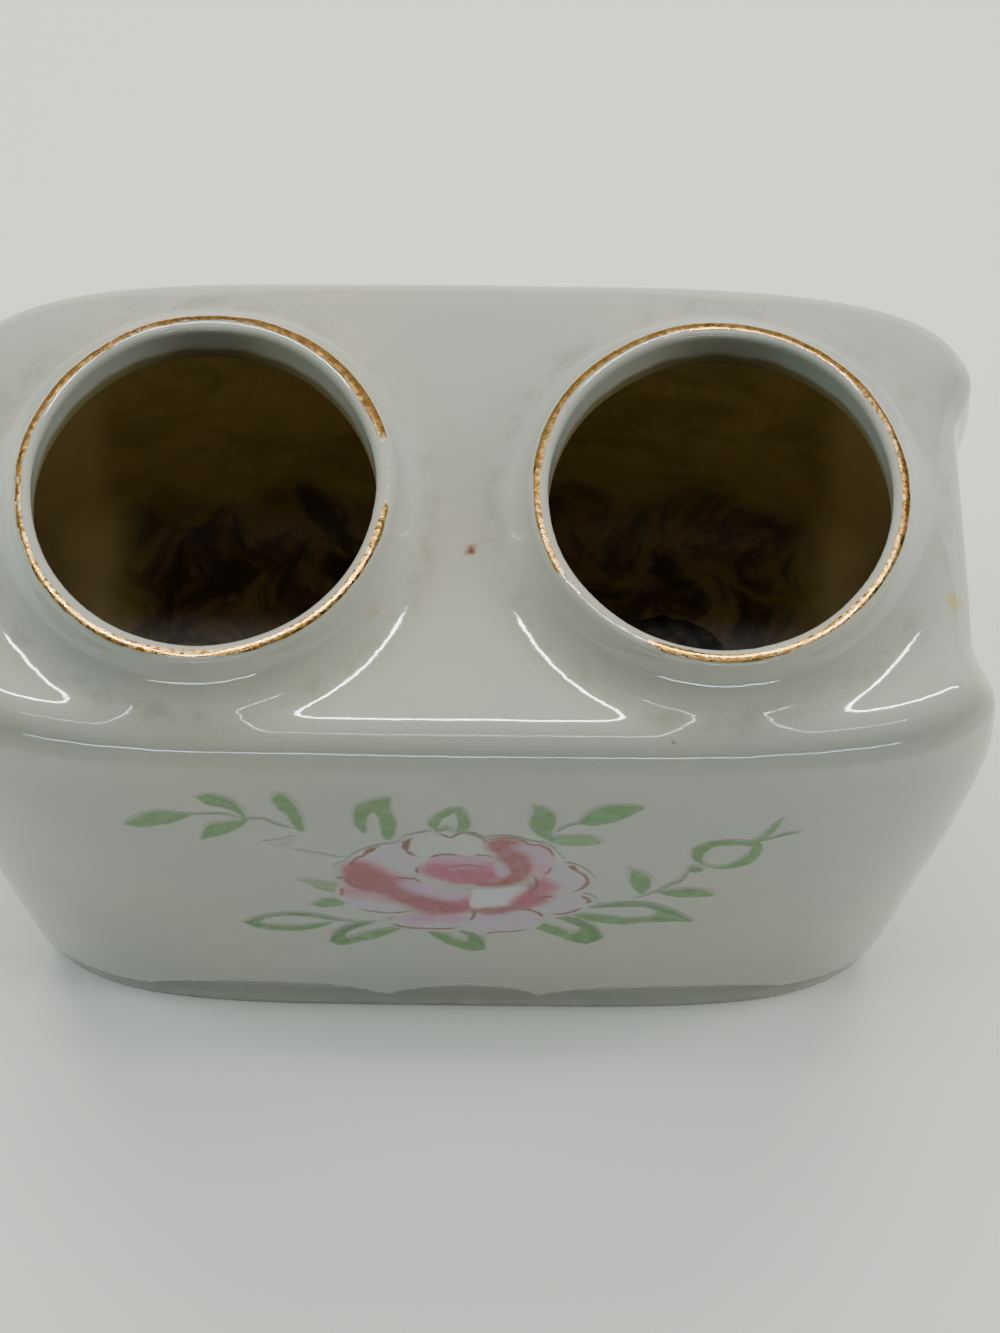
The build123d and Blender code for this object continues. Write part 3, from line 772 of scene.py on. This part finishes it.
# kind, layer, colour, opacity, softness of the edge, brush width, points (X, Z)
STROKES = [
    ("fill", "leaf", "green", 0.88, 0.35, 0, [(-36.2, 51.9), (-35, 53.7), (-33.8, 55.1), (-32.2, 55.9), (-30.4, 55.6), (-29, 55.4), (-29.9, 54.1), (-31.2, 52.9), (-32.7, 52.2), (-34.2, 51.4), (-35.3, 51.6)]),
    ("line", "leaf", "stem", 0.8, 0.2, 0.42, [(-29.2, 55.4), (-27.5, 55.7), (-25.7, 56), (-24, 55.3), (-22.7, 54.9), (-21.1, 54.9), (-19.7, 53.7), (-18.3, 52.8), (-17, 52.4)]),
    ("fill", "leaf", "green", 0.88, 0.35, 0, [(-28.1, 60.3), (-27.1, 61.3), (-25.9, 61), (-24.7, 60), (-23.7, 58.3), (-23, 55.7), (-23.2, 55.3), (-24.3, 57), (-25.3, 57.8), (-26.7, 58.3), (-27.7, 59.4)]),
    ("fill", "leaf", "green", 0.88, 0.35, 0, [(-28, 48.7), (-27.5, 51.8), (-26.5, 53.3), (-25.1, 53.8), (-23.4, 54.6), (-22.7, 54.9), (-23.5, 52.9), (-24.8, 51.2), (-26.3, 49.8)]),
    ("fill", "leaf", "green", 0.88, 0.35, 0, [(-20, 60), (-19.7, 61.4), (-18.9, 61.7), (-18.1, 60.1), (-17.4, 57.8), (-17, 55.1), (-16.8, 52.3), (-17.4, 52.3), (-18, 54.1), (-18.5, 56.3), (-19.4, 57.9)]),
    ("fill", "leaf", "ghost", 0.35, 0.8, 0, [(-21.1, 48.6), (-19.5, 49.1), (-18, 50.2), (-18.4, 48.3), (-19.9, 47.5)]),
    ("line", "leaf", "ghost", 0.35, 0.2, 0.5, [(-18.1, 46.7), (-16.3, 46.1), (-14.5, 45.3), (-12.3, 44.5)]),
    ("fill", "leaf", "pale", 0.75, 0.35, 0, [(-17.6, 38.2), (-16.5, 38.1), (-15, 37.6), (-13.8, 37), (-12.9, 35.9), (-13.3, 35), (-14.7, 35.3), (-16, 36.3)]),
    ("fill", "leaf", "green", 0.8, 0.35, 0, [(-16.4, 31.3), (-15.3, 32.7), (-14, 33.1), (-12.9, 32.8), (-11.7, 32.6), (-12.6, 31.7), (-13.9, 30.9), (-15.4, 30.7)]),
    ("line", "leaf", "deep", 0.8, 0.3, 0.8, [(-23.9, 26.1), (-22.7, 27.2), (-21.2, 28.1), (-19.3, 28.7), (-17.1, 28.5), (-15.1, 27.8), (-13.6, 27.1), (-12, 26.7)]),
    ("line", "leaf", "green", 0.85, 0.3, 1.35, [(-23.9, 26.1), (-22.7, 25.4), (-21.2, 24.9), (-19.4, 24.7), (-17.5, 24.9), (-15.7, 25.6), (-14.2, 26.6)]),
    ("fill", "leaf", "green", 0.8, 0.4, 0, [(-23.9, 26.1), (-23, 26.8), (-22.1, 27.2), (-22.3, 26.3), (-22.2, 25.4), (-23.1, 25.7)]),
    ("line", "leaf", "deep", 0.8, 0.3, 1.3, [(-14.5, 21.2), (-13.7, 23.1), (-12.7, 24.6), (-11.2, 25.8), (-9.6, 26.5)]),
    ("line", "leaf", "green", 0.85, 0.3, 1.62, [(-14.5, 21.2), (-13.2, 21), (-11.7, 21.8), (-10, 22.8), (-8.1, 24), (-5.9, 25.5)]),
    ("fill", "leaf", "green", 0.8, 0.4, 0, [(-14.5, 21.2), (-13.7, 23), (-12.6, 24.6), (-13, 22.7), (-12.6, 21.5), (-13.6, 20.8)]),
    ("line", "leaf", "deep", 0.8, 0.3, 1.3, [(-0.9, 25.4), (0.2, 24.5), (1.3, 22.9), (2, 21.2), (2.4, 19.3)]),
    ("line", "leaf", "green", 0.85, 0.3, 1.62, [(-3.5, 23.9), (-2.4, 22.8), (-1.3, 21.4), (0.2, 20.2), (1.5, 19.3), (2.4, 19.3)]),
    ("fill", "leaf", "green", 0.8, 0.4, 0, [(0.8, 23.6), (1.7, 22.2), (2.2, 20.8), (2.5, 19.1), (1.3, 19.5), (0.6, 20.5)]),
    ("line", "leaf", "deep", 0.8, 0.3, 1.4, [(10.7, 28.1), (12, 27.7), (13.1, 26.7), (14.3, 25.3), (15, 23.4), (14.8, 22.2), (13.9, 21.3)]),
    ("line", "leaf", "green", 0.85, 0.3, 1.76, [(7.4, 27.3), (8.7, 25.9), (10.2, 24.6), (11.7, 23.2), (12.8, 22), (13.9, 21.3)]),
    ("fill", "leaf", "green", 0.8, 0.4, 0, [(13.2, 26.3), (14.3, 25.3), (15, 23.4), (14.8, 22.2), (13.9, 21.1), (12.8, 21.9), (12.2, 23.4), (13, 24.4)]),
    ("line", "leaf", "deep", 0.8, 0.3, 1.35, [(14, 31), (16.1, 31.5), (18.3, 32), (20.5, 31.9), (22.3, 30.7), (24, 29.2), (25.5, 27.4)]),
    ("line", "leaf", "green", 0.85, 0.3, 1.69, [(12.6, 29.1), (14.2, 28.2), (16.1, 27.5), (18.3, 27.2), (20.5, 27.7), (22.7, 27.7), (25.5, 27.4)]),
    ("fill", "leaf", "green", 0.8, 0.4, 0, [(21.2, 31.4), (22.7, 30.4), (24.2, 29), (25.5, 27.3), (23.8, 27.5), (22.4, 27.7), (21.2, 28.4), (21.6, 29.8)]),
    ("fill", "leaf", "green", 0.88, 0.35, 0, [(-11.4, 55.8), (-11, 58.6), (-9.7, 60.1), (-7.5, 61.1), (-7.5, 59.2), (-7.4, 57.8), (-6.8, 54.1), (-7.2, 50.9), (-7.8, 49.9), (-8.3, 50.8), (-8.5, 53.6), (-8.7, 55.9), (-9.2, 57.3), (-9.8, 56.3), (-10.1, 54), (-10.2, 51.9), (-10.8, 52.6), (-11.3, 54.2)]),
    ("line", "leaf", "green", 0.9, 0.3, 1.2, [(0, 58.9), (-1.2, 57.6), (-2.3, 55.9), (-2.8, 54), (-2.5, 52.3)]),
    ("line", "leaf", "green", 0.9, 0.3, 1.28, [(0, 58.9), (0.3, 56.6), (0.5, 54.3), (-0, 51.9), (-0.8, 51.3)]),
    ("line", "leaf", "green", 0.8, 0.3, 0.96, [(-2.5, 52.3), (-1.7, 52.9), (-1.4, 53.4)]),
    ("fill", "leaf", "green", 0.88, 0.35, 0, [(8, 59.7), (9.2, 59.2), (10.2, 57.4), (10.3, 55), (9.9, 52.3), (10.2, 50.4), (9.2, 50.9), (8.3, 52.2), (7.6, 54.5), (7.8, 57.3)]),
    ("line", "leaf", "stem", 0.8, 0.2, 0.4, [(10.2, 52.5), (11.2, 53.9), (12.3, 54.9), (13.5, 55.3)]),
    ("fill", "leaf", "bright", 0.88, 0.35, 0, [(12.8, 55.1), (13.7, 57.2), (14.9, 59.1), (16.7, 59.8), (18.5, 59.7), (19.8, 59.3), (18.8, 57.7), (17.3, 56), (15.5, 54.9), (14, 54.6)]),
    ("fill", "leaf", "pale", 0.8, 0.35, 0, [(9.4, 49.7), (10.7, 51.4), (12.3, 51.6), (14.1, 51.4), (15.3, 49.8), (14.1, 49.1), (12.3, 48.9), (10.7, 49.1)]),
    ("line", "leaf", "stem", 0.8, 0.2, 0.4, [(19, 33.8), (20.4, 35), (21.5, 35.9), (22.9, 37.7), (24.2, 39.3), (24.9, 41.5), (25.6, 42.2)]),
    ("fill", "leaf", "deep", 0.8, 0.3, 0, [(24.7, 42), (25.4, 43.1), (26.4, 42.1), (25.6, 41.3)]),
    ("fill", "leaf", "green", 0.88, 0.35, 0, [(18.6, 42.4), (19.6, 41.5), (20.5, 40.3), (20.8, 38.5), (20.4, 36.1), (19.7, 35.2), (18.9, 37.1), (18.5, 39.4)]),
    ("fill", "leaf", "green", 0.88, 0.35, 0, [(21.5, 35.9), (23, 36.3), (24.8, 36.7), (26.6, 36.3), (27.8, 34.9), (26.3, 34.5), (24.4, 34.4), (22.6, 34.9)]),
    ("line", "leaf", "green", 0.9, 0.3, 1.55, [(26.6, 43.3), (25.8, 45.2), (26.1, 47.4), (27.1, 48.7), (28.5, 49.2), (30.3, 49.2), (31.9, 48.7), (32.2, 47.4), (31.8, 45.4), (30.8, 43.7), (29.4, 42.6), (27.9, 42.5), (26.6, 43.3)]),
    ("line", "leaf", "green", 0.9, 0.2, 1, [(31.9, 48.9), (33, 50.8), (33.8, 52.9), (34.8, 55.7)]),
    ("line", "leaf", "stem", 0.9, 0.2, 0.6, [(32.6, 49.7), (33.9, 50.4), (35.3, 51.2), (37, 51.7)]),
    ("fill", "rose", "white", 0.3, 1.6, 0, [(-5.4, 50.5), (-2.5, 51.7), (0.4, 51.3), (2.5, 49.3), (3.7, 46.1), (2.2, 45.6), (-0, 46), (-2.5, 45.9), (-4, 44.1), (-5.6, 46.3), (-5.9, 48.6)]),
    ("fill", "rose", "lilac", 0.5, 1.8, 0, [(-8.8, 47.6), (-6.1, 48.1), (-4.7, 45.4), (-4, 42.2), (-5.5, 41.2), (-7.8, 42.6), (-10, 44.3), (-11.3, 44.3), (-10.5, 46.1)]),
    ("fill", "rose", "lilac", 0.55, 1.8, 0, [(10, 42.6), (12, 42.9), (13.6, 40.1), (13.8, 37.6), (12, 35.2), (10.2, 35.2), (9.4, 37)]),
    ("fill", "rose", "lilac", 0.55, 1.8, 0, [(7.6, 32.8), (10.4, 34.2), (13.1, 34.3), (14.1, 32.9), (12.9, 30.8), (11.3, 29.6), (9.1, 29.3), (7.2, 30.9)]),
    ("fill", "rose", "lilac", 0.6, 1.8, 0, [(-12.9, 33.5), (-10.7, 32.7), (-8.4, 31.8), (-5.3, 30.1), (-6.8, 29.1), (-9, 29.2), (-11.2, 30.1)]),
    ("fill", "rose", "lilac", 0.7, 1.8, 0, [(-7.2, 26.9), (-5.3, 28.9), (-2.5, 29), (1.2, 29.1), (4.9, 29.9), (7.6, 30.4), (9, 28.3), (7.6, 25.4), (5.8, 24.7), (3.9, 24.1), (2.1, 24.2), (-0.2, 25), (-3.5, 24.9), (-6.2, 25.7)]),
    ("line", "rose", "pink", 0.55, 1.8, 2.6, [(-5.9, 27.4), (-3.8, 28.2), (-1.6, 28), (0.6, 28.1)]),
    ("fill", "rose", "pink", 0.8, 1.5, 0, [(-12.5, 42.4), (-11.3, 44.2), (-10, 44.3), (-8.2, 42.5), (-6.4, 40.3), (-4.8, 38.5), (-3.4, 37.1), (-1.5, 35.8), (0.3, 34.9), (1.2, 34.9), (1.1, 31.2), (0.3, 29.7), (-1.6, 29.6), (-3.4, 30), (-5.2, 31.9), (-7.1, 33.5), (-8.9, 34.6), (-10.7, 34.6), (-12.9, 34.5), (-13, 36.3), (-11.9, 37.1), (-12.6, 39.1)]),
    ("fill", "rose", "rosy", 0.85, 1.6, 0, [(-12.5, 41.9), (-11.4, 43.8), (-10, 43.6), (-8.4, 41.2), (-6.6, 38.4), (-4.8, 34.8), (-2.7, 32.5), (-0.5, 32.5), (1.1, 33.1), (1, 31.1), (0.2, 29.6), (-1.6, 29.5), (-3.4, 30), (-5.2, 31.9), (-7.1, 33.5), (-8.9, 35.1), (-10.7, 36.4), (-11.9, 37.1), (-12.5, 39.2)]),
    ("line", "rose", "crimson", 0.85, 1.8, 4.2, [(-12.2, 41), (-10.8, 39), (-8.8, 37.4), (-7, 35.7), (-5.2, 33.4), (-3.4, 31.6), (-1.2, 31), (0.8, 31.1)]),
    ("line", "rose", "crimson", 0.7, 1.4, 2.4, [(-12.2, 41.9), (-11.1, 42), (-9.7, 40.2), (-8.3, 38.4)]),
    ("line", "rose", "lilac", 0.75, 1.6, 2.6, [(-6.4, 38.4), (-4.8, 36.9), (-3, 35.5), (-1.2, 34.8), (0.3, 35)]),
    ("fill", "rose", "pink", 0.9, 1.2, 0, [(-4, 42.2), (-3.3, 44.5), (-1.8, 45.6), (0.2, 45.5), (2.2, 45.2), (3.6, 44.3), (4.7, 42), (4.7, 39.7), (3.2, 38), (1.4, 37.3), (-0.4, 37.7), (-2.2, 39), (-3.5, 40.6)]),
    ("line", "rose", "rosy", 0.85, 1.6, 4, [(-3.3, 42.2), (-1.9, 40.9), (-0, 39.8), (2.1, 39.9), (3.8, 40.6)]),
    ("line", "rose", "lilac", 0.5, 1.2, 1.8, [(-2.5, 44.6), (-0.7, 44.8), (1.4, 44.7), (3.1, 44)]),
    ("fill", "rose", "crimson", 0.92, 1.3, 0, [(2.8, 49.4), (4, 50.7), (5.6, 50.7), (7.1, 49.4), (8, 47.1), (8.3, 44.4), (8, 41.6), (7.2, 38.8), (5.8, 37.3), (4, 36.8), (2.2, 37), (2.1, 38.1), (4, 38.7), (5, 40.6), (4.8, 42.9), (4, 44.7), (3.7, 46.3), (2.9, 47.7)]),
    ("fill", "rose", "pink", 0.75, 1.6, 0, [(7.2, 49.5), (9, 48.6), (9.9, 46.3), (10.1, 43.1), (9.4, 40.3), (10.3, 37), (9.3, 34.7), (7.6, 32.8), (7.2, 36), (8.1, 38.9), (8.4, 42.6), (8.1, 46.2)]),
    ("line", "rose", "lilac", 0.7, 1.6, 2.6, [(6.3, 48.7), (7.8, 47.4), (8.9, 45.3), (9.4, 42.6)]),
    ("line", "rose", "lilac", 0.7, 0.8, 1.2, [(4, 43.6), (4.6, 41.5), (4.5, 39.7)]),
    ("fill", "rose", "white", 0.97, 0.35, 0, [(1.2, 36.2), (4, 36.3), (7.1, 36.9), (7, 34.6), (6.1, 32.3), (3.9, 31.5), (1.4, 31.2), (1, 32.6), (1.2, 34.5)]),
    ("line", "rose", "crimson", 0.8, 1, 2.2, [(1.2, 30), (3.9, 30.2), (6, 31.2), (7.2, 33.5), (8.1, 37)]),
    ("line", "rose", "rosy", 0.75, 1.8, 3, [(6.7, 32.8), (7.8, 33.7), (8.9, 36.1), (9.2, 38.9)]),
    ("line", "rose", "rosy", 0.7, 1.2, 2.2, [(6.1, 31.3), (7.6, 32.3), (9.1, 33.3)]),
    ("line", "rose", "pink", 0.6, 1.4, 2.2, [(-12.9, 35.9), (-11.6, 34.5), (-9.6, 33.7), (-7.8, 32.3)]),
    ("line", "rose", "rust", 0.85, 0.16, 0.5, [(-8.7, 48.3), (-9.8, 47.1), (-10.5, 45.7), (-11.4, 44.7), (-11.9, 42.9), (-12.5, 41.5)]),
    ("line", "rose", "rust", 0.85, 0.16, 0.8, [(-9.3, 47.8), (-10.2, 46.4)]),
    ("line", "rose", "rust", 0.85, 0.16, 0.5, [(-13.5, 38.9), (-12.9, 39.6), (-12.5, 39.6)]),
    ("line", "rose", "rust", 0.85, 0.16, 0.55, [(-12.5, 39.6), (-12.3, 38.2), (-11.6, 36.9), (-10.7, 36.4), (-8.8, 36.4)]),
    ("line", "rose", "rust", 0.85, 0.16, 0.38, [(-7, 39.8), (-5.9, 39.4), (-5, 39.2), (-4.3, 38)]),
    ("line", "rose", "rust", 0.85, 0.16, 0.55, [(-5.1, 50.5), (-5.7, 49.5), (-5.9, 47.7), (-5.4, 46.3), (-4.4, 45.2)]),
    ("line", "rose", "rust", 0.85, 0.16, 0.9, [(-5.7, 49.6), (-5.9, 48.4), (-5.9, 47.1)]),
    ("line", "rose", "rust", 0.85, 0.16, 0.4, [(-4.5, 42.7), (-4.8, 41.7), (-4.6, 40.8)]),
    ("line", "rose", "rust", 0.85, 0.16, 0.5, [(-2.7, 52), (-1.8, 51.3), (-1, 50.7), (0.2, 52), (1.5, 51.6), (2.6, 50.2), (2.8, 49.6)]),
    ("line", "rose", "rust", 0.85, 0.16, 0.42, [(-3.3, 45.2), (-2.2, 45.9), (-1.1, 46), (0.2, 45.5)]),
    ("line", "rose", "rust", 0.85, 0.16, 0.42, [(1.6, 45.8), (2.7, 45.8), (3.6, 45.2)]),
    ("line", "rose", "rust", 0.85, 0.16, 0.5, [(2.8, 50), (4, 50.8), (5.4, 51), (6.7, 50.4), (7.6, 49.2), (8.7, 49), (9.6, 47.9), (10.1, 46.3), (10.4, 45.4)]),
    ("line", "rose", "rust", 0.85, 0.16, 0.38, [(-1.7, 42.3), (-0.4, 42.8), (1.1, 43), (2.5, 42.4), (3.1, 42.4)]),
    ("line", "rose", "rust", 0.85, 0.16, 0.34, [(-0.6, 41.6), (0.1, 41.4), (0.8, 40.5)]),
    ("line", "rose", "rust", 0.85, 0.16, 0.3, [(5.5, 44.8), (6.2, 46.2), (6.7, 46.4)]),
    ("line", "rose", "rust", 0.85, 0.16, 0.42, [(9.9, 42.6), (9.6, 41.2), (9.1, 40.3)]),
    ("line", "rose", "rust", 0.85, 0.16, 0.55, [(12.1, 43.1), (12.7, 41.7), (13.6, 40.3), (13.9, 38.5), (13.3, 36.6), (12, 35.2)]),
    ("line", "rose", "rust", 0.85, 0.16, 0.8, [(12.1, 43.1), (12.5, 42)]),
    ("line", "rose", "rust", 0.85, 0.16, 0.6, [(13.2, 34.5), (14.2, 32.9), (13.7, 32.4)]),
    ("line", "rose", "rust", 0.85, 0.16, 0.45, [(13.3, 31), (12.2, 29.8), (10.9, 29.2), (9.3, 29.3)]),
    ("line", "rose", "rust", 0.85, 0.16, 0.4, [(8.2, 33.3), (9.3, 34), (10.4, 34.3)]),
    ("line", "rose", "rust", 0.85, 0.16, 0.4, [(7.9, 40.2), (8.4, 38.4), (8.2, 36.5), (7.6, 34.7)]),
    ("line", "rose", "rust", 0.85, 0.16, 0.45, [(6.5, 30.6), (7.6, 30.4), (8.7, 29.3), (9, 28.3)]),
    ("line", "rose", "rust", 0.85, 0.16, 0.42, [(-11.3, 30.3), (-9.9, 29.7), (-8.2, 29.3), (-6.7, 29.5), (-5.3, 30.1)]),
    ("line", "rose", "rust", 0.85, 0.16, 0.5, [(-7.9, 26.4), (-6.4, 25.3), (-4.2, 24.9), (-1.6, 24.9), (-0.1, 25.5)]),
    ("line", "rose", "rust", 0.85, 0.16, 0.45, [(1.5, 30.5), (1.4, 28.8), (1, 27.4)]),
    ("line", "rose", "rust", 0.85, 0.16, 0.42, [(2.6, 23.6), (3.9, 24.2), (5.8, 24.4), (7.6, 25.2)]),
    ("line", "rose", "rust", 0.85, 0.16, 0.45, [(-13, 36.3), (-13.1, 34)]),
]
layers = {}
for layer in ("leaf", "rose"):
    paint = np.tile(np.array(GLAZE), (*SX.shape, 1))
    alpha = np.zeros(SX.shape)
    for k, (kind, which, tint, opacity, soft, width, points) in enumerate(STROKES):
        if which != layer:
            continue
        if kind == "fill":
            blob(points, COLOURS[tint], opacity, soft=soft, n=90)
            if soft < 0.5 and which == "leaf":      # darker edge where the brush load settled
                stroke(points, 0.35, COLOURS["deep"], 0.35, taper=(0, 0), soft=0.3, seed=k)
        else:
            stroke(points, width, COLOURS[tint], opacity, taper=(0.18, 0.25), soft=soft, wobble=0.3, seed=k)
    layers[layer] = (paint, alpha)


def front_y(px, pz, proud):
    """Depth of the casting's front at (px, pz), standing proud by that much."""
    py = np.full_like(px, -36.0)
    for _ in range(26):
        py = py + (body_distance(px, py, pz) - proud) * 0.9
    return py


ids = np.arange(SX.size).reshape(SX.shape)
enamel_mat = porcelain("painted_enamel", painted=True)
rose_solid = layers["rose"][1]
for name, node, slot_name, layer, lift in (("painted_rose", "rose_enamel", "pink_enamel", "rose", 0.05), ("painted_leaves", "leaf_enamel", "green_enamel", "leaf", 0.03)):
    paint, alpha = layers[layer]
    if layer == "leaf":
        alpha = alpha * np.clip(1 - 1.3 * rose_solid, 0, 1)
    pick = alpha > 0.02
    grow = pick.copy()
    grow[1:] |= pick[:-1]
    grow[:-1] |= pick[1:]
    grow[:, 1:] |= grow[:, :-1].copy()
    grow[:, :-1] |= grow[:, 1:].copy()
    proud = lift + 0.04 * np.clip(alpha, 0, 1)
    YY = np.zeros(SX.shape)
    YY[grow] = front_y(SX[grow], SZ[grow], proud[grow])
    q = np.stack([ids[:-1, :-1], ids[1:, :-1], ids[1:, 1:], ids[:-1, 1:]], -1).reshape(-1, 4)
    q = q[grow.ravel()[q].all(1) & pick.ravel()[q].any(1)]
    used = np.unique(q)
    remap = -np.ones(SX.size, int)
    remap[used] = np.arange(len(used))
    P = np.c_[SX.ravel()[used], YY.ravel()[used], SZ.ravel()[used]]
    o = make_mesh(name, P, remap[q])
    attribute(o, "cover", np.clip(alpha.ravel()[used], 0, 1))
    colour(o, "paint", paint.reshape(-1, 3)[used])
    o.data.materials.append(enamel_mat)
    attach(o, "root")
    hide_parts(node)

# ---------------------------------------------------------------- stage
FLOOR_S = 3.0
fm = bpy.data.meshes.new("table_top")
fm.from_pydata([(-FLOOR_S, -FLOOR_S, 0), (FLOOR_S, -FLOOR_S, 0), (FLOOR_S, FLOOR_S, 0), (-FLOOR_S, FLOOR_S, 0)], [], [(0, 1, 2, 3)])
table_top = bpy.data.objects.new("table_top", fm)
bpy.context.scene.collection.objects.link(table_top)
m, nt, bsdf = new_material("table_paint")
bsdf.inputs["Base Color"].default_value = (*hexa(243, 242, 238), 1)
bsdf.inputs["Roughness"].default_value = 0.6
fm.materials.append(m)

# ---------------------------------------------------------------- camera
cam_data = bpy.data.cameras.new("camera")
cam = bpy.data.objects.new("camera", cam_data)
bpy.context.scene.collection.objects.link(cam)
right = Vector((0.999907, 0.013292, -0.003136))
up = Vector((-0.011076, 0.923592, 0.383216))
fwd = Vector((-0.007990, 0.383145, -0.923654))
cam.matrix_world = Matrix((
    (right.x, up.x, -fwd.x, 0.01105), (right.y, up.y, -fwd.y, -0.34275), (right.z, up.z, -fwd.z, 0.85597), (0, 0, 0, 1)))
cam_data.sensor_width = 36
cam_data.lens = 36 * 8000 / 1333
cam_data.clip_start, cam_data.clip_end = 0.05, 20
bpy.context.scene.camera = cam

# ---------------------------------------------------------------- light
world = bpy.data.worlds.new("studio")
world.use_nodes = True
bg = world.node_tree.nodes["Background"]
bg.inputs[0].default_value = (0.93, 0.96, 1.0, 1)
bg.inputs[1].default_value = 0.04
bpy.context.scene.world = world


def area_light(name, loc, target, sx_, sy_, watts, rgb, glossy=True):
    ld = bpy.data.lights.new(name, "AREA")
    ld.shape = "RECTANGLE"
    ld.size, ld.size_y = sx_, sy_
    ld.energy = watts
    ld.color = rgb
    o = bpy.data.objects.new(name, ld)
    bpy.context.scene.collection.objects.link(o)
    o.location = loc
    o.rotation_mode = "QUATERNION"
    o.rotation_quaternion = (Vector(target) - Vector(loc)).to_track_quat("-Z", "Y")
    o.visible_glossy = glossy
    o.visible_diffuse = not glossy      # the tubes only make reflections
    return o


area_light("back_panel", (0, 0.55, 0.75), (0, 0, 0.05), 1.0, 0.5, 5.2, (1.0, 0.87, 0.68), glossy=False)
area_light("far_panel", (0, 1.3, 1.2), (0, 0, 0.05), 2.0, 1.0, 15.0, (0.94, 0.98, 1.0), glossy=False)
area_light("over_panel", (0, 0.1, 1.4), (0, 0, 0.05), 1.4, 0.9, 3.4, (1.0, 0.94, 0.80), glossy=False)
area_light("left_panel", (-1.1, 0.02, 0.8), (0, 0, 0.05), 0.7, 0.7, 9.0, (0.82, 1.0, 0.97), glossy=False)
area_light("right_panel", (1.1, 0.02, 0.8), (0, 0, 0.05), 0.7, 0.7, 12.0, (0.90, 1.0, 0.94), glossy=False)
# narrow tubes whose reflections draw the thin bright lines on the glaze
area_light("tube_white", (0.0, 0.14, 1.5), (0, 0, 0.07), 1.5, 0.066, 38, (1.0, 0.99, 0.96))
area_light("tube_white_2", (0.0, -0.72, 1.25), (0, 0, 0.07), 0.9, 0.010, 1.6, (1.0, 0.99, 0.96))
area_light("tube_blue", (0.0, -1.1, 0.10), (0, 0, 0.07), 0.9, 0.020, 3.2, (0.66, 0.88, 1.0))
